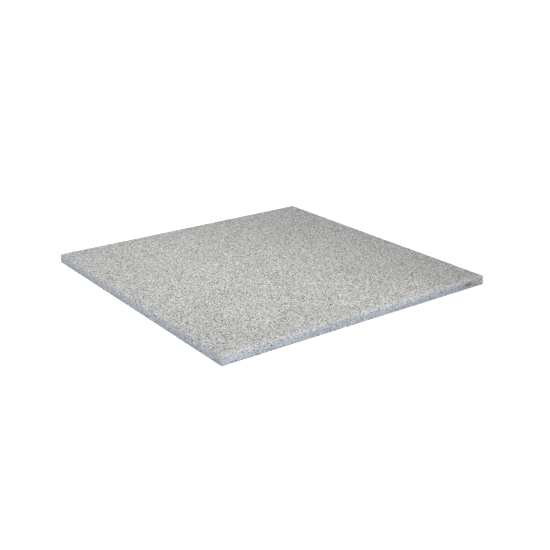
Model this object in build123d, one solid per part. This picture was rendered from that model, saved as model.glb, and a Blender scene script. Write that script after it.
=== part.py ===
"""Granite paver: one square slab of natural stone, lying flat with its wearing face up.

A block of granite is gang-sawn into a slab, the slab's upper face is flamed to a rough, slip-safe
finish, and the slab is cut square with a diamond saw. It stays one solid piece of stone. Its edges
are square-sawn, and only the slight breaks that sawing and handling leave at the arrises are cut
here: the relief of the flamed face and the chips in its arrises are far finer than the slab.

Frame: millimetres, +Z up. The origin is at the middle of the bedding face, X along the length and
Y along the width.
"""

import os

from build123d import *

# Overall size
LENGTH = 1000.0  # along X
WIDTH = 1000.0  # along Y
THICKNESS = 30.0  # bedding face to wearing face

# Breaks at the edges, each measured square to the corner it takes off
WEARING_ARRIS = 2.0  # around the flamed wearing face, where the grain spalls a little under the saw
BEDDING_ARRIS = 1.0  # around the sawn bedding face
CORNER_ARRIS = 1.5  # down the four upright corners


def paver():
    """The sawn block, standing on its bedding face, with every edge broken at 45 degrees.

    The upright corners are broken first, so that the breaks around the two large faces run on
    past them and close up at each corner.
    """
    stone = Box(LENGTH, WIDTH, THICKNESS, align=(Align.CENTER, Align.CENTER, Align.MIN))
    stone = chamfer(stone.edges().filter_by(Axis.Z), CORNER_ARRIS)
    stone = chamfer(stone.faces().sort_by(Axis.Z)[-1].edges(), WEARING_ARRIS)
    return chamfer(stone.faces().sort_by(Axis.Z)[0].edges(), BEDDING_ARRIS)


PARTS = {"paver": paver}

os.makedirs("parts", exist_ok=True)
for node, make in PARTS.items():
    export_step(make(), f"parts/{node}.step")
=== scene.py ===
"""Looks of a granite paver: one square slab, flamed on top, sawn on its edges and on its back.

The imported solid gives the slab's size and place. Here it gets the relief of a flamed face, a worn and
chipped arris, a bruise near one corner, and the grain of a light grey granite.
"""

import math

import bpy
import numpy as np
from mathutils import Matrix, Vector


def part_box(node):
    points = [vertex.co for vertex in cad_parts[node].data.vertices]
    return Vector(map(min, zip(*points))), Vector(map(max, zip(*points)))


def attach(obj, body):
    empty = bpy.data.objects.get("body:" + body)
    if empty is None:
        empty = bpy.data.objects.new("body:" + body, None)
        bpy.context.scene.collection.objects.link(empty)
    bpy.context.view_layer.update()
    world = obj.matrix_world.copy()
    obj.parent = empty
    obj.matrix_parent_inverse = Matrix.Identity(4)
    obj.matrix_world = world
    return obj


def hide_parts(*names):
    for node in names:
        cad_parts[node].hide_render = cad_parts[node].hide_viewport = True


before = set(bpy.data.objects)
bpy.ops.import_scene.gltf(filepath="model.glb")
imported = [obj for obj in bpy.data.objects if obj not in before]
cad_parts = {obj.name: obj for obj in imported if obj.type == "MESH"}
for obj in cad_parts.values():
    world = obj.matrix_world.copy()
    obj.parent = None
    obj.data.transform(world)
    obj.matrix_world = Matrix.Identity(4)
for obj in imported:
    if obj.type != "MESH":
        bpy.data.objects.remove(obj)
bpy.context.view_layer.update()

MM = 0.001

# The slab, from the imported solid
LOW, HIGH = (np.array(corner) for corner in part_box("paver"))
HALF = (HIGH - LOW)[:2] / 2  # half its length and half its width
THICK = (HIGH - LOW)[2]

# How finely its surfaces are divided
FACE_CELLS = 244  # cells along each side of the wearing face
RIM_SPLIT = 2  # columns of the rim to each of those cells
BACK_SPLIT = 8  # columns of the rim to each cell of the back
CROWDING = 0.08  # how strongly the cells crowd towards the arrises

# Plan of the slab
CORNER_RADIUS, LEAST_RADIUS = 1.6 * MM, 0.3 * MM  # of the upright corners, at the outline and inside it
FACE_INSET = 8 * MM  # from the outline in to the border of the wearing face
BACK_INSET = 12 * MM  # from the outline in to the border of the back

# Section of the rim. Each line is so far in from the outline, so far down from the wearing face, and
# takes this share of the arris's wear.
WEARING_ARRIS = np.array(
    [
        (6.0 * MM, 0.0 * MM, 0.00),
        (4.2 * MM, 0.0 * MM, 0.15),
        (2.8 * MM, 0.1 * MM, 0.50),
        (1.6 * MM, 0.3 * MM, 0.90),
        (0.8 * MM, 0.8 * MM, 1.00),
        (0.3 * MM, 1.7 * MM, 0.90),
        (0.0 * MM, 3.0 * MM, 0.50),
        (0.0 * MM, 5.0 * MM, 0.12),
    ]
)
# The same, with the second number measured up from the bed
BEDDING_ARRIS = np.array(
    [
        (0.0 * MM, 2.2 * MM, 0.0),
        (0.2 * MM, 0.7 * MM, 0.0),
        (0.8 * MM, 0.1 * MM, 0.0),
        (2.5 * MM, 0.0 * MM, 0.0),
        (6.0 * MM, 0.0 * MM, 0.0),
    ]
)
EDGE_LINES = 4  # lines of the section between the two
SAWN_FROM = 5 * MM  # how far down the arris the saw's wander is at its full depth

# Relief of the flamed face: the pitch of each form and how far it goes below the nominal plane
SWELL_PITCH, SWELL_DEPTH = 70 * MM, 0.10 * MM
DISH_PITCH, DISH_DEPTH = 16 * MM, 0.70 * MM
FLAKE_PITCH, FLAKE_DEPTH = 10 * MM, 0.50 * MM
FLAMED_TO = 1.5 * MM  # how far down the arris the flamed relief reaches
FLAMED_DOWN, FLAMED_FADE = 0.8 * MM, 2 * MM  # how far down the flamed skin is whole, and then fades

# The saw's slight wander over the edges and the back
WANDER_PITCH, WANDER_DEPTH = 85 * MM, 0.10 * MM

# Wear of the arris around the wearing face: noise, raised so that most of the arris is worn a little
WEAR_PITCH, WEAR_DEPTH, WEAR_RAISE = 12 * MM, 0.35 * MM, 0.7
CHIPS = 150
CHIP_HALF_LENGTH = (2 * MM, 8 * MM)
CHIP_DEPTH = (0.3 * MM, 1.9 * MM)
CHIP_SHALLOWEST = 0.2  # share of that depth

# The bruise on the -Y arris, near its +X end: its middle, how far it reaches in x, y and z, how deep it
# goes, and how ragged its border is
BRUISE_MIDDLE = np.array([HIGH[0] - 70 * MM, LOW[1], HIGH[2] - 4 * MM])
BRUISE_REACH, BRUISE_DEPTH = np.array([30, 13, 13]) * MM, 2.4 * MM
BRUISE_PITCH, BRUISE_RAGGED = 7 * MM, 0.25

# How pale the worn arris is along -Y, +X, +Y and -X, the wear that bares it fully, and the least share
ARRIS_PALE = (0.38, 0.35, 0.35, 0.25)
BARED_WEAR, LEAST_BARED = 0.8 * MM, 0.5

# The saw that cut the edges: a disc that reaches a little below the slab
DISC_RADIUS, DISC_OVERCUT = 250 * MM, 5 * MM

# Where each surface lies on the flat map of the stone: left, bottom and size. The four edges lie one
# above the other at the last pitch.
FACE_CHART = (0.01, 0.25, 0.74)
BACK_CHART = (0.765, 0.765, 0.225)
EDGE_CHART, EDGE_CHART_PITCH = (0.01, 0.01, 0.97), 0.058

# Noise: the cells after which it repeats, more than any pitch here needs, the factor that brings it to
# about -1 to 1, and the seed of each use
LATTICE = 256
NOISE_GAIN = 1.5
SWELL_SEED, DISH_SEED, FLAKE_SEED = 11, 12, 13
EDGE_SEED, BACK_SEED = 14, 15
CHIP_SEED, WEAR_SEED = 21, 22
BRUISE_SEED = 31

NEARLY_NONE = 1e-9  # stands in for a length of zero that something is divided by


def ripple(x, y, pitch, seed):
    """Perlin's noise, about -1 to 1: each corner of a square lattice has a random slope, and the heights
    that the four nearest slopes give are joined by 6t^5 - 15t^4 + 10t^3 in x and in y, then scaled up."""
    turn = np.random.default_rng(seed).uniform(0, 2 * np.pi, (LATTICE, LATTICE))
    u, v = x / pitch, y / pitch
    i, j = np.floor(u).astype(int), np.floor(v).astype(int)
    across, along = u - i, v - j

    def height(a, b):
        slope = turn[(i + a) % LATTICE, (j + b) % LATTICE]
        return np.cos(slope) * (across - a) + np.sin(slope) * (along - b)

    def ease(t):
        return t**3 * (t * (6 * t - 15) + 10)

    near = height(0, 0) + ease(across) * (height(1, 0) - height(0, 0))
    far = height(0, 1) + ease(across) * (height(1, 1) - height(0, 1))
    return NOISE_GAIN * (near + ease(along) * (far - near))


def crowded(cells):
    """Places of the grid lines from -1 to 1: (1 + c) s - c s^9 for even steps s, so the steps shrink
    within a few centimetres of the ends and are even between."""
    s = np.linspace(-1, 1, cells + 1)
    return (1 + CROWDING) * s - CROWDING * s**9


def lap(columns):
    """Once around the square from -1 to 1, anticlockwise from its (-X, -Y) corner: its points, and the
    number of sides behind each point. Each side is the one before it turned by a quarter."""
    line = crowded(columns)[:-1]
    side = np.stack([line, -np.ones(columns)], 1)
    quarter = np.array([[0, 1], [-1, 0]])
    points = [side @ np.linalg.matrix_power(quarter, k) for k in range(4)]
    return np.concatenate(points), np.concatenate([(line + 1) / 2 + k for k in range(4)])


def flamed_depth(x, y):
    """Depth of the flamed face under the nominal plane. The flame bursts flakes off the stone, which
    leaves shallow dishes with crests between them: |noise| at two pitches, on a slow swell."""
    swell = SWELL_DEPTH * (1 + ripple(x, y, SWELL_PITCH, SWELL_SEED))
    dishes = DISH_DEPTH * np.abs(ripple(x, y, DISH_PITCH, DISH_SEED))
    flakes = FLAKE_DEPTH * np.abs(ripple(x, y, FLAKE_PITCH, FLAKE_SEED))
    return np.maximum(swell + dishes + flakes, 0)


def saw_wander(run, height, seed):
    """Depth of a sawn surface under its nominal plane: noise at a slow pitch."""
    return WANDER_DEPTH * np.maximum(1 + ripple(run, height, WANDER_PITCH, seed), 0)


def arris_wear(run):
    """How far the arris is worn back at each distance along it: noise, where it is above zero, and
    chips, each a parabola d (1 - (t / l)^2) of its own place, length and depth, the deepest winning."""
    rng = np.random.default_rng(CHIP_SEED)
    place = rng.uniform(0, 4 * HALF.sum(), CHIPS)
    reach = rng.uniform(*CHIP_HALF_LENGTH, CHIPS)
    depth = rng.uniform(*CHIP_DEPTH, CHIPS) * rng.uniform(CHIP_SHALLOWEST, 1, CHIPS)
    chips = (depth * (1 - ((run[:, None] - place) / reach) ** 2)).max(1)
    midway = np.full_like(run, WEAR_PITCH / 2)
    noise = WEAR_DEPTH * (WEAR_RAISE + ripple(run, midway, WEAR_PITCH, WEAR_SEED))
    return np.maximum(noise, 0) + np.maximum(chips, 0)


def bruised(points):
    """The same points with the bruise knocked into them: each moves in and down, at 45 degrees to the
    arris, by d (1 - r^2) in an ellipsoid of radius r = 1 about a place on the arris. Noise on r makes
    its border ragged."""
    x, y, z = points.T
    r = np.linalg.norm((points - BRUISE_MIDDLE) / BRUISE_REACH, axis=1)
    r = r + BRUISE_RAGGED * ripple(x, y - z, BRUISE_PITCH, BRUISE_SEED)
    depth = BRUISE_DEPTH * np.clip(1 - r**2, 0, 1)
    return points + depth[:, None] * np.array([0, 1, -1]) / math.sqrt(2)


def outline(square, inset):
    """The slab's outline, drawn in by an inset. A point within a corner's radius of both sides moves on
    to the corner's arc."""
    radius = max(CORNER_RADIUS - inset / 2, LEAST_RADIUS)
    way = np.sign(square)
    straight = square * (HALF - inset)
    middle = way * (HALF - inset - radius)
    past = straight - middle
    length = np.linalg.norm(past, axis=1, keepdims=True)
    on_arc = (past * way > 0).all(1, keepdims=True)
    return np.where(on_arc, middle + past * radius / np.maximum(length, NEARLY_NONE), straight)


def rim_section():
    """Lines of the rim from the wearing face, over its arris, down the edge and under it to the back,
    each as inset, drop and share of wear. Between the two arrises they are evenly spaced."""
    lower = BEDDING_ARRIS * (1, -1, 1) + (0, THICK, 0)
    edge = np.linspace(WEARING_ARRIS[-1], lower[0], EDGE_LINES + 2)[1:-1] * (1, 1, 0)
    return np.concatenate([WEARING_ARRIS, edge, lower])


def rim(square, run):
    """The section carried around the outline: line i at column j. Each line is drawn in and down by its
    share of the wear there, and has the relief of the flamed face above and of the saw below."""
    wear = arris_wear(run)
    inwards = np.where(np.abs(square) == 1, -np.sign(square), 0)
    lines = []
    for inset, drop, share in rim_section():
        edge_on = np.clip(drop / SAWN_FROM, 0, 1) * (inset == 0)
        sawn = saw_wander(run, np.full_like(run, drop), EDGE_SEED) * edge_on
        flat = outline(square, inset) + inwards * (share * wear + sawn)[:, None]
        flamed = flamed_depth(*flat.T) * np.clip(1 - drop / FLAMED_TO, 0, 1)
        down = drop + share * wear + flamed
        lines.append(np.column_stack([flat, HIGH[2] - np.minimum(down, THICK)]))
    return np.array(lines)


def sheet(cells, inset, height):
    """A grid of points over the slab at a height that is a function of x and y."""
    line = crowded(cells)
    x, y = np.meshgrid(line * (HALF[0] - inset), line * (HALF[1] - inset), indexing="ij")
    return np.stack([x, y, height(x, y)], -1).reshape(-1, 3)


def sheet_quads(cells, first):
    """Quads of a grid whose points are numbered from first, row by row, anticlockwise from above."""
    number = first + np.arange((cells + 1) ** 2).reshape(cells + 1, -1)
    corners = [number[:-1, :-1], number[1:, :-1], number[1:, 1:], number[:-1, 1:]]
    return np.stack(corners, -1).reshape(-1, 4)


def sheet_border(cells, first):
    """The numbers of that grid's border, anticlockwise from its (-X, -Y) corner."""
    number = first + np.arange((cells + 1) ** 2).reshape(cells + 1, -1)
    sides = [number[:-1, 0], number[-1, :-1], number[:0:-1, -1], number[0, :0:-1]]
    return np.concatenate(sides)


def stitches(border, line, split):
    """Faces between a border and a rim line outside it that has split columns to each of its cells."""
    outer = np.append(line, line[0])
    steps = np.arange(len(border))[:, None] * split + np.arange(split + 1)
    return np.column_stack([border, outer[steps], np.roll(border, -1)])


def chart(points, place):
    """Where a level surface lies on the flat map: its x and y, from 0 to 1 over the slab, in a square."""
    left, bottom, size = place
    return (points[:, :2] / HALF + 1) / 2 * size + (left, bottom)


def rim_corners(columns):
    """For each corner of each rim quad, the number of its column, unbroken around the slab, and the
    number of its line. Line and column count from 0."""
    lines = len(rim_section())
    line, column = np.meshgrid(np.arange(lines - 1), np.arange(4 * columns), indexing="ij")
    step_line, step_column = np.array([0, 1, 1, 0]), np.array([0, 0, 1, 1])
    return line[..., None] + step_line, column[..., None] + step_column


def edge_maps(columns, sides_behind, line, column):
    """The two flat maps of the rim's quads. On the first, each edge is a strip, as long as the edge and as
    wide as the section is around. The second gives, in metres, the place across and along the marks of
    the disc: a tooth's path is an arc, so the place across is the distance along the edge less the
    arc's own, sqrt(2 R h - h^2) at height h."""
    section = rim_section()
    steps = np.linalg.norm(np.diff(section[:, :2], axis=0), axis=1)
    around = np.concatenate([[0], steps.cumsum()])
    side = (column[..., :1] // columns) + 0 * column
    along = np.append(sides_behind, 4)[column] - side
    left, bottom, size = EDGE_CHART
    strip_bottom = bottom + side * EDGE_CHART_PITCH
    strips = np.stack([left + along * size, strip_bottom + around[line] * size], -1)
    height = THICK - section[line, 1] + DISC_OVERCUT
    arc = np.sqrt(2 * DISC_RADIUS * height - height**2)
    marks = np.stack([(along + side) * 2 * HALF.mean() - arc, height], -1)
    return strips, marks


def slab_of_stone():
    """The whole slab as one closed skin: a flamed face, a rim carried around it and a sawn back. The
    face's and the back's grids are coarser than the rim, and each is stitched to it.

    Two flat maps go with it, OFBake, which lays the surfaces out side by side, and SawMarks, and two
    values at each point: how flamed the stone is there, and how worn.
    """
    columns = FACE_CELLS * RIM_SPLIT
    back_cells = columns // BACK_SPLIT
    square, sides_behind = lap(columns)
    run = sides_behind * 2 * HALF.mean()
    face = sheet(FACE_CELLS, FACE_INSET, lambda x, y: HIGH[2] - flamed_depth(x, y))
    edges = rim(square, run)
    back = sheet(back_cells, BACK_INSET, lambda x, y: LOW[2] + saw_wander(x, y, BACK_SEED))
    points = bruised(np.concatenate([face, edges.reshape(-1, 3), back]))

    rim_number = len(face) + np.arange(edges.shape[0] * edges.shape[1]).reshape(edges.shape[:2])
    back_first = len(face) + rim_number.size
    line, column = rim_corners(columns)
    face_quads = sheet_quads(FACE_CELLS, 0)
    face_stitches = stitches(sheet_border(FACE_CELLS, 0), rim_number[0], RIM_SPLIT)
    rim_quads = rim_number[line, column % (4 * columns)].reshape(-1, 4)
    back_border = sheet_border(back_cells, back_first)
    back_stitches = stitches(back_border, rim_number[-1], BACK_SPLIT)[:, ::-1]
    back_quads = sheet_quads(back_cells, back_first)[:, ::-1]
    blocks = [face_quads, face_stitches, rim_quads, back_stitches, back_quads]

    strips, edge_marks = edge_maps(columns, sides_behind, line, column)
    on_face, on_back = chart(points, FACE_CHART), chart(points, BACK_CHART)
    flat_marks = points[:, [1, 0]]  # the gang saw's marks run along X, side by side in Y
    maps = {
        "OFBake": [
            on_face[face_quads],
            on_face[face_stitches],
            strips,
            on_back[back_stitches],
            on_back[back_quads],
        ],
        "SawMarks": [
            flat_marks[face_quads],
            flat_marks[face_stitches],
            edge_marks,
            flat_marks[back_stitches],
            flat_marks[back_quads],
        ],
    }

    flamed = np.clip(1 - (HIGH[2] - points[:, 2] - FLAMED_DOWN) / FLAMED_FADE, 0, 1)
    pale = np.array(ARRIS_PALE)[sides_behind.astype(int)]
    bared = np.clip(arris_wear(run) / BARED_WEAR, LEAST_BARED, 1)
    worn = np.zeros(len(points))
    worn[rim_number] = rim_section()[:, 2, None] * pale * bared

    mesh = bpy.data.meshes.new("granite_slab")
    mesh.from_pydata(points.tolist(), [], [face for block in blocks for face in block.tolist()])
    mesh.polygons.foreach_set("use_smooth", np.ones(len(mesh.polygons), bool))
    for name, parts in maps.items():
        layer = mesh.uv_layers.new(name=name)
        flat = np.concatenate([part.reshape(-1, 2) for part in parts])
        layer.uv.foreach_set("vector", flat.astype(np.float32).ravel())
    for name, values in (("flamed", flamed), ("worn", worn)):
        layer = mesh.attributes.new(name, "FLOAT", "POINT")
        layer.data.foreach_set("value", values.astype(np.float32))

    slab = bpy.data.objects.new("granite_slab", mesh)
    bpy.context.collection.objects.link(slab)
    return slab


# ---------------------------------------------------------------------------------------------------
# The stone's finishes
# ---------------------------------------------------------------------------------------------------

# Minerals of the granite, and the share of its grains that each has
QUARTZ = (0.194, 0.198, 0.204)
PLAGIOCLASE = (0.437, 0.437, 0.428)
FELDSPAR = (0.717, 0.710, 0.683)
BIOTITE = (0.020, 0.020, 0.022)
QUARTZ_SHARE, PLAGIOCLASE_SHARE = 0.32, 0.42

# Grain, by the pitch of its cells
GRAIN = 1.8 * MM
RAGGED_PITCH, RAGGED_REACH = 1.3 * MM, 1.0 * MM  # how the borders between the grains wander
CRYSTAL, CRYSTAL_SHARE = 5.0 * MM, 0.05  # the large feldspars, and their share of the cells
FLAKES = ((2.7 * MM, 0.065), (1.5 * MM, 0.040))  # the same for large and for small flakes of mica
CLOT, CLOT_SHARE = 60 * MM, 0.5  # the same for clots of mica
CLOT_REACH, CLOT_LUMPS = 0.055, 0.04  # their radius, and how uneven it is, as shares of the pitch

# Unevenness, by the pitch of its noise, and the shades at the noise's low and high ends
NOISE_ENDS, NOISE_MIDDLE = (0.2, 0.8), 0.5
GRIT, GRIT_SHADES = 0.6 * MM, (0.74, 1.26)
CLOUD, CLOUD_SHADES = 110 * MM, (0.95, 1.05)
GRAIN_SHADES = (0.88, 1.12)  # of whole grains

# Flamed
BURST, BURST_SHARE = (0.622, 0.613, 0.583), 0.20  # the crushed skin, and its share of the colour
MARGIN, MARGIN_PALE = (28 * MM, 8 * MM), 0.16  # the face is paler this near to the -Y arris
FRESH_BREAK = (0.729, 0.729, 0.719)

# Sawn
SAWN_TINT = (0.815, 0.869, 0.975)
SLURRY, SLURRY_SHARE = (0.363, 0.391, 0.434), 0.45  # what the saw leaves in the grains
SAWN_BIOTITE = (0.055, 0.059, 0.066)  # mica under the slurry
PAINTED_SHADE_RISE = (3 * MM, 27 * MM)  # painted shade near the bed: the edges are darkest below the first height, lightest above the second
# the painted shade's factors at the bed and at the top of the edges
PAINTED_SHADE_FACTORS = (0.87, 1.06)
BLEACH_RISE, BLEACH = (15 * MM, 29 * MM), (1.055, 1.0, 0.950)  # and lose their blue between these two

# Wear, by the pitch of its patches, the ends of their noise, and the shares that it gives
PATCH, PATCH_ENDS, PATCH_SHARES = 2.5 * MM, (0.35, 0.6), (0.35, 1.0)
PALEST = 0.8

# Damage. Each oval has its middle, measured from the end of the arris beside the bruise, and how far it
# reaches in x, y and z. Their borders wander.
BLOTCH_PITCH, BLOTCH_REACH = 9 * MM, 14 * MM
BRUISED_CORNER = np.array([HIGH[0], LOW[1], HIGH[2]])
SPALL, SPALL_PALE = ((-70, 2, 0), (38, 26, 9)), 0.6
# the stain is partly real soil and partly painted shadow of the recess under the spall's lip
STAIN_AND_SHADOW, STAIN_AND_SHADOW_SHARE = ((-72, 0, -15), (35, 16, 8)), 0.82
SMEAR, SMEAR_SHARE = ((-50, 0, -16), (50, 16, 17)), 0.15
SOIL_AND_SHADOW_ENDS, SOIL_AND_SHADOW_SHADES = (0.2, 0.7), (0.7, 1.2)  # how the grit breaks them up
RUBBED, RUBBED_FLATNESS = ((-38, 0, -15), (76, 16, 40)), 1.8
RUBBED_GROUND, RUBBED_SHARE = (0.328, 0.327, 0.320), 0.4  # the dust in it
SOIL_AND_SHADOW = (0.055, 0.055, 0.053)

# Slow changes of tone over the stone. Each oval is measured from the middle of the -Y arris.
FRONT_MIDDLE = np.array([0, LOW[1], HIGH[2]])
TONES = (
    ((176, 297, 0), (60, 45, 20), (0.90, 0.90, 0.90)),  # a damp spot on the wearing face
    ((200, 0, 0), (290, 220, 20), (1.17, 1.17, 1.165)),  # a pale stretch of its -Y margin
    ((20, 130, 0), (480, 350, 20), (1.005, 1.00, 0.966)),  # a faint rusty warmth behind that
    ((-140, 0, -10), (190, 16, 20), (0.86, 0.86, 0.86)),  # a dull stretch of the -Y edge
    ((-430, 0, -18), (150, 16, 24), (1.13, 1.13, 1.13)),  # a clean one
    ((430, 970, 0), (300, 300, 20), (1.018, 1.03, 1.05)),  # a cool corner, (+X, +Y)
    ((50, 150, 0), (230, 300, 20), (1.04, 1.04, 1.04)),  # a light cloud in front of the middle
    ((-460, 280, 0), (220, 230, 20), (0.965, 0.965, 0.965)),  # a dull one by the -X arris
)

# Gloss, of the sawn and of the flamed stone
ROUGHNESS, GRIT_ROUGHNESS = (0.62, 0.85), (-0.08, 0.08)
SPECULAR = 0.35

# Relief that is too fine for the mesh, by its pitch, and its height on the sawn and on the flamed stone
FACET, FACET_HEIGHTS = 2.4 * MM, (0.06 * MM, 1.4 * MM)  # the facets that crystals break into
GRAIN_TILT, MICA_DROP = 0.20, 0.20  # as shares of that height
SAW_MARKS, MARK_HEIGHTS = (3.0 * MM, 60 * MM), (0.04 * MM, 0.0)  # their pitch, and how long each runs


class Finish:
    """One material's nodes. Each method adds a node and returns what comes out of it."""

    def __init__(self, name):
        self.material = bpy.data.materials.new(name)
        self.material.use_nodes = True
        self.tree = self.material.node_tree
        self.surface = self.tree.nodes["Principled BSDF"]

    def add(self, kind, inputs, **settings):
        made = self.tree.nodes.new(kind)
        for name, value in settings.items():
            setattr(made, name, value)
        for name, value in inputs.items():
            self.feed(made.inputs[name], value)
        return made

    def feed(self, socket, value):
        if isinstance(value, bpy.types.NodeSocket):
            self.tree.links.new(value, socket)
        elif isinstance(value, tuple) and len(value) == 3 and socket.type == "RGBA":
            socket.default_value = (*value, 1)
        else:
            socket.default_value = value

    def place(self):
        return self.add("ShaderNodeTexCoord", {}).outputs["Object"]

    def axes(self, place):
        return self.add("ShaderNodeSeparateXYZ", {"Vector": place}).outputs

    def attribute(self, name):
        return self.add("ShaderNodeAttribute", {}, attribute_name=name).outputs["Fac"]

    def noise(self, place, pitch, detail=2.0, output="Fac"):
        inputs = {"Vector": place, "Scale": 1 / pitch, "Detail": detail}
        return self.add("ShaderNodeTexNoise", inputs).outputs[output]

    def grains(self, place, pitch):
        return self.add("ShaderNodeTexVoronoi", {"Vector": place, "Scale": 1 / pitch})

    def wandering(self, place, pitch, reach):
        """The place, moved by noise, up to half the reach each way."""
        waver = self.vector("SUBTRACT", self.noise(place, pitch, 1.0, "Color"), (NOISE_MIDDLE,) * 3)
        return self.vector("ADD", place, self.vector("MULTIPLY", waver, (reach,) * 3))

    def split(self, colour):
        return self.add("ShaderNodeSeparateColor", {"Color": colour}).outputs

    def maths(self, operation, *values):
        return self.add("ShaderNodeMath", dict(enumerate(values)), operation=operation).outputs[0]

    def vector(self, operation, *values):
        made = self.add("ShaderNodeVectorMath", dict(enumerate(values)), operation=operation)
        return made.outputs["Value" if operation == "LENGTH" else "Vector"]

    def between(self, value, start, end, low=0.0, high=1.0):
        inputs = {"Value": value, "From Min": start, "From Max": end, "To Min": low, "To Max": high}
        return self.add("ShaderNodeMapRange", inputs, interpolation_type="SMOOTHSTEP").outputs[0]

    def mix(self, share, first, second, way="MIX"):
        inputs = {0: share, 6: first, 7: second}
        made = self.add("ShaderNodeMix", inputs, data_type="RGBA", blend_type=way)
        return made.outputs[2]

    def times(self, colour, shade):
        return self.mix(1.0, colour, shade, "MULTIPLY")

    def steps(self, value, colours):
        made = self.add("ShaderNodeValToRGB", {"Fac": value})
        ramp = made.color_ramp
        ramp.interpolation = "CONSTANT"
        for position, colour in colours:
            stop = ramp.elements[0] if position == 0 else ramp.elements.new(position)
            stop.color = (*colour, 1)
        ramp.elements.remove(ramp.elements[-1])
        return made.outputs["Color"]

    def oval(self, place, origin, middle, reach):
        """1 at the middle of an ellipsoid, falling to 0 at its skin. Its middle, from the origin, and its
        reach are in millimetres."""
        middle = origin + np.array(middle) * MM
        away = self.vector("SUBTRACT", place, tuple(middle))
        away = self.vector("DIVIDE", away, tuple(np.array(reach) * MM))
        return self.between(self.vector("LENGTH", away), 1.0, 0.0)


def minerals(stone, place, ragged, grains, grit):
    """Interlocked grains of quartz and two feldspars, uneven from grain to grain, within a grain and in
    slow clouds."""
    kind, facet = stone.split(grains.outputs["Color"])[:2]
    colours = [(0, QUARTZ), (QUARTZ_SHARE, PLAGIOCLASE), (QUARTZ_SHARE + PLAGIOCLASE_SHARE, FELDSPAR)]
    colour = stone.steps(kind, colours)
    crystal = stone.split(stone.grains(ragged, CRYSTAL).outputs["Color"])[0]
    colour = stone.mix(stone.maths("GREATER_THAN", crystal, 1 - CRYSTAL_SHARE), colour, FELDSPAR)
    clouds = stone.between(stone.noise(place, CLOUD, 3.0), *NOISE_ENDS, *CLOUD_SHADES)
    shade = stone.maths("MULTIPLY", stone.between(grit, *NOISE_ENDS, *GRIT_SHADES), clouds)
    shade = stone.maths("MULTIPLY", shade, stone.between(facet, 0.0, 1.0, *GRAIN_SHADES))
    return stone.times(colour, shade)


def sawn(stone, place, blotched, ground):
    """The cooler, more even face that the saw leaves: less blue towards its top, rubbed grey around the
    bruise, and darker towards the bed with painted shade."""
    height = stone.axes(place)[2]
    colour = stone.mix(SLURRY_SHARE, stone.times(ground, SAWN_TINT), SLURRY)
    bleached = stone.mix(stone.between(height, *BLEACH_RISE), (1.0, 1.0, 1.0), BLEACH)
    colour = stone.times(colour, bleached)
    rubbed = stone.maths("MULTIPLY", stone.oval(blotched, BRUISED_CORNER, *RUBBED), RUBBED_FLATNESS)
    rubbed_face = stone.mix(RUBBED_SHARE, ground, RUBBED_GROUND)
    colour = stone.mix(stone.maths("MINIMUM", rubbed, 1.0), colour, rubbed_face)
    # painted shade: darker towards the bed, lighter towards the top
    return stone.times(colour, stone.between(height, *PAINTED_SHADE_RISE, *PAINTED_SHADE_FACTORS))


def flamed(stone, place, ground):
    """The paler face that the flame leaves, with a margin along its -Y arris that is paler still."""
    colour = stone.mix(BURST_SHARE, ground, BURST)
    starts, ends = MARGIN
    margin = stone.between(stone.axes(place)[1], LOW[1] + starts, LOW[1] + ends, 0.0, MARGIN_PALE)
    return stone.mix(margin, colour, FRESH_BREAK)


def mica_share(stone, ragged, grit):
    """1 on mica: flakes, which are whole cells, and clots, each about the middle of a large cell."""
    clots = stone.grains(ragged, CLOT)
    chosen = stone.maths("LESS_THAN", stone.split(clots.outputs["Color"])[0], CLOT_SHARE)
    lumpy = stone.maths("ADD", clots.outputs["Distance"], stone.maths("MULTIPLY", grit, CLOT_LUMPS))
    mica = stone.maths("MULTIPLY", chosen, stone.maths("LESS_THAN", lumpy, CLOT_REACH))
    for pitch, share in FLAKES:
        cell = stone.split(stone.grains(ragged, pitch).outputs["Color"])[1]
        mica = stone.maths("MAXIMUM", mica, stone.maths("LESS_THAN", cell, share))
    return mica


def weathered(stone, place, blotched, colour, grit):
    """Pale patches along the arrises and on the spall, and below it a stain, partly real soil and partly
    painted shadow of the recess under the spall's lip, within a smear of soil.
    """
    patchy = stone.between(stone.noise(place, PATCH), *PATCH_ENDS, *PATCH_SHARES)
    spall = stone.maths("MULTIPLY", stone.oval(blotched, BRUISED_CORNER, *SPALL), SPALL_PALE)
    worn = stone.maths("MULTIPLY", stone.maths("MAXIMUM", stone.attribute("worn"), spall), patchy)
    colour = stone.mix(stone.maths("MINIMUM", worn, PALEST), colour, FRESH_BREAK)
    # a stain that is partly painted shadow under the spall's lip, and a smear of soil around it
    stain_and_shadow = stone.maths("MULTIPLY", stone.oval(blotched, BRUISED_CORNER, *STAIN_AND_SHADOW), STAIN_AND_SHADOW_SHARE)
    smear = stone.maths("MULTIPLY", stone.oval(blotched, BRUISED_CORNER, *SMEAR), SMEAR_SHARE)
    soil_and_shadow = stone.maths("MAXIMUM", stain_and_shadow, smear)
    soil_and_shadow = stone.maths("MULTIPLY", soil_and_shadow, stone.between(grit, *SOIL_AND_SHADOW_ENDS, *SOIL_AND_SHADOW_SHADES))
    return stone.mix(stone.maths("MINIMUM", soil_and_shadow, 1.0), colour, SOIL_AND_SHADOW)


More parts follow.
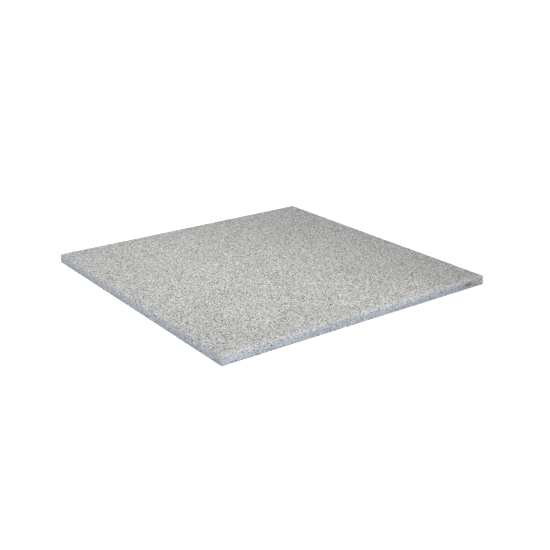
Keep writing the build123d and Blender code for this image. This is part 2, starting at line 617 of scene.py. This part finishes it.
def relief(stone, place, tilt, mica, flame):
    """Broken facets, mica that has dropped out, and the marks of the saw."""
    facets = stone.noise(place, FACET)
    facets = stone.maths("ADD", facets, stone.maths("MULTIPLY", tilt, GRAIN_TILT))
    facets = stone.maths("SUBTRACT", facets, stone.maths("MULTIPLY", mica, MICA_DROP))
    facets = stone.maths("MULTIPLY", facets, stone.between(flame, 0.0, 1.0, *FACET_HEIGHTS))
    pitch, length = SAW_MARKS
    sawing = stone.add("ShaderNodeUVMap", {}, uv_map="SawMarks").outputs["UV"]
    marks = stone.noise(stone.vector("MULTIPLY", sawing, (1 / pitch, 1 / length, 0.0)), 1.0)
    marks = stone.maths("MULTIPLY", marks, stone.between(flame, 0.0, 1.0, *MARK_HEIGHTS))
    height = stone.maths("ADD", facets, marks)
    return stone.add("ShaderNodeBump", {"Height": height, "Strength": 1.0, "Distance": 1.0})


def granite():
    """Light grey granite, with flakes of black mica between its grains. Its flamed face is paler and
    rougher, its sawn ones cooler, smoother and more even."""
    stone = Finish("granite")
    place = stone.place()
    flame = stone.attribute("flamed")
    grit = stone.noise(place, GRIT)
    ragged = stone.wandering(place, RAGGED_PITCH, RAGGED_REACH)
    blotched = stone.wandering(place, BLOTCH_PITCH, BLOTCH_REACH)
    grains = stone.grains(ragged, GRAIN)

    ground = minerals(stone, place, ragged, grains, grit)
    sawn_face = sawn(stone, place, blotched, ground)
    colour = stone.mix(flame, sawn_face, flamed(stone, place, ground))
    for middle, reach, tone in TONES:
        spread = stone.oval(place, FRONT_MIDDLE, middle, reach)
        colour = stone.mix(spread, colour, stone.times(colour, tone))
    mica = mica_share(stone, ragged, grit)
    colour = stone.mix(mica, colour, stone.mix(flame, SAWN_BIOTITE, BIOTITE))
    stone.feed(stone.surface.inputs["Base Color"], weathered(stone, place, blotched, colour, grit))

    rough = stone.between(flame, 0.0, 1.0, *ROUGHNESS)
    rough = stone.maths("ADD", rough, stone.between(grit, *NOISE_ENDS, *GRIT_ROUGHNESS))
    stone.feed(stone.surface.inputs["Roughness"], rough)
    stone.feed(stone.surface.inputs["Specular IOR Level"], SPECULAR)
    tilt = stone.split(grains.outputs["Color"])[2]
    bump = relief(stone, place, tilt, mica, flame)
    stone.feed(stone.surface.inputs["Normal"], bump.outputs["Normal"])
    return stone.material


# ---------------------------------------------------------------------------------------------------
# The studio
# ---------------------------------------------------------------------------------------------------

SURROUND_RADIUS = 40.0
SURROUND_LINES = (96, 24)  # around it, and from its rim to its top
PAPER_WHITE = (0.93, 0.93, 0.93)
FLOOR_GLOW, BACKDROP_GLOW = 0.45, 1.0
AIR_WHITE, AIR_STRENGTH = (0.987, 1.0, 1.014), 0.61

# Each softbox: its power in watts, its spread in degrees, its white, its place and what it is aimed at
SOFTBOX_SIZE = (1.0, 1.0)
OVERHEAD = (3.57, 80, (1.0, 0.987, 0.957), (-0.3, 0.0, 1.8), (-0.35, 0.15, 0.0))
FRONT = (1.73, 35, (0.985, 1.0, 1.03), (-0.5, -2.2, 1.8), (-0.16, -0.35, 0.0))

# The camera: its angles in degrees, its distance and its lens. It looks at a point left of the middle of
# the wearing face, towards its -Y arris.
AZIMUTH, ELEVATION, DISTANCE = -36.47, 20.46, 2.877
LOOKS_AT = np.array([-0.0338, -0.1013, HIGH[2]])
LENS, SENSOR = 58.93, 36.0
SEES_TO = 2.5 * SURROUND_RADIUS  # past the far side of the dome


def aimed(thing, place, target):
    """Stands a light or the camera at a place, looking at a target."""
    thing.location = place
    thing.rotation_euler = (Vector(target) - Vector(place)).to_track_quat("-Z", "Y").to_euler()
    bpy.context.collection.objects.link(thing)
    return thing


def softbox(name, power, spread, white, place, target):
    """A square softbox with a grid on it, which keeps its light within an angle of spread degrees."""
    lamp = bpy.data.lights.new(name, "AREA")
    lamp.shape = "RECTANGLE"
    lamp.size, lamp.size_y = SOFTBOX_SIZE
    lamp.energy = power
    lamp.color = white
    lamp.spread = math.radians(spread)
    return aimed(bpy.data.objects.new(name, lamp), place, target)


def paper(name, lift, glow):
    """A round sheet of white paper under the slab, or the dome over it: rings of radius R cos t at
    height R sin t times lift, from the rim to the middle."""
    around, rings = SURROUND_LINES
    angle, rise = np.meshgrid(
        np.linspace(0, 2 * np.pi, around, endpoint=False), np.linspace(0, np.pi / 2, rings + 1)[:-1]
    )
    x, y, z = np.cos(rise) * np.cos(angle), np.cos(rise) * np.sin(angle), lift * np.sin(rise)
    points = np.stack([x, y, z], -1).reshape(-1, 3) * SURROUND_RADIUS
    points = np.vstack([points, (0, 0, lift * SURROUND_RADIUS)])
    number = np.arange(around * rings).reshape(rings, around)
    turned = np.roll(number, -1, axis=1)
    quads = np.stack([number[:-1], turned[:-1], turned[1:], number[1:]], -1).reshape(-1, 4)
    cap = np.column_stack([number[-1], turned[-1], np.full(around, around * rings)])
    mesh = bpy.data.meshes.new(name)
    mesh.from_pydata(points.tolist(), [], quads.tolist() + cap.tolist())
    sheet = bpy.data.objects.new(name, mesh)
    bpy.context.collection.objects.link(sheet)
    white = Finish(name + "_paper")
    white.feed(white.surface.inputs["Base Color"], PAPER_WHITE)
    white.feed(white.surface.inputs["Roughness"], 1.0)
    white.feed(white.surface.inputs["Specular IOR Level"], 0.0)
    white.feed(white.surface.inputs["Emission Color"], (1.0, 1.0, 1.0))
    white.feed(white.surface.inputs["Emission Strength"], glow)
    white.material.cycles.emission_sampling = "NONE"
    mesh.materials.append(white.material)
    return sheet


def studio():
    """A pale floor, a white backdrop all round that only the camera sees, an even white light from all
    sides, and two softboxes: one over the slab's -X half and one in front of its -Y edge."""
    paper("floor", 0, FLOOR_GLOW)
    backdrop = paper("backdrop", 1, BACKDROP_GLOW)
    backdrop.visible_diffuse = False
    backdrop.visible_glossy = False
    backdrop.visible_shadow = False

    air = bpy.data.worlds.new("studio_air")
    air.use_nodes = True
    background = air.node_tree.nodes["Background"].inputs
    background["Color"].default_value = (*AIR_WHITE, 1)
    background["Strength"].default_value = AIR_STRENGTH
    bpy.context.scene.world = air
    bpy.context.scene.view_settings.view_transform = "Standard"
    bpy.context.scene.cycles.use_denoising = False  # which would blur the grain of the stone

    softbox("overhead", *OVERHEAD)
    softbox("front", *FRONT)


def camera():
    """Looks down on the slab from in front of its (-X, -Y) corner."""
    azimuth, elevation = math.radians(AZIMUTH), math.radians(ELEVATION)
    level = math.cos(elevation)
    back = np.array([math.sin(azimuth) * level, -math.cos(azimuth) * level, math.sin(elevation)])
    lens = bpy.data.cameras.new("camera")
    lens.lens, lens.sensor_width = LENS, SENSOR
    lens.clip_end = SEES_TO
    made = aimed(bpy.data.objects.new("camera", lens), LOOKS_AT + back * DISTANCE, LOOKS_AT)
    bpy.context.scene.camera = made


slab = slab_of_stone()
slab.data.materials.append(granite())
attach(slab, "root")
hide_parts("paver")
studio()
camera()
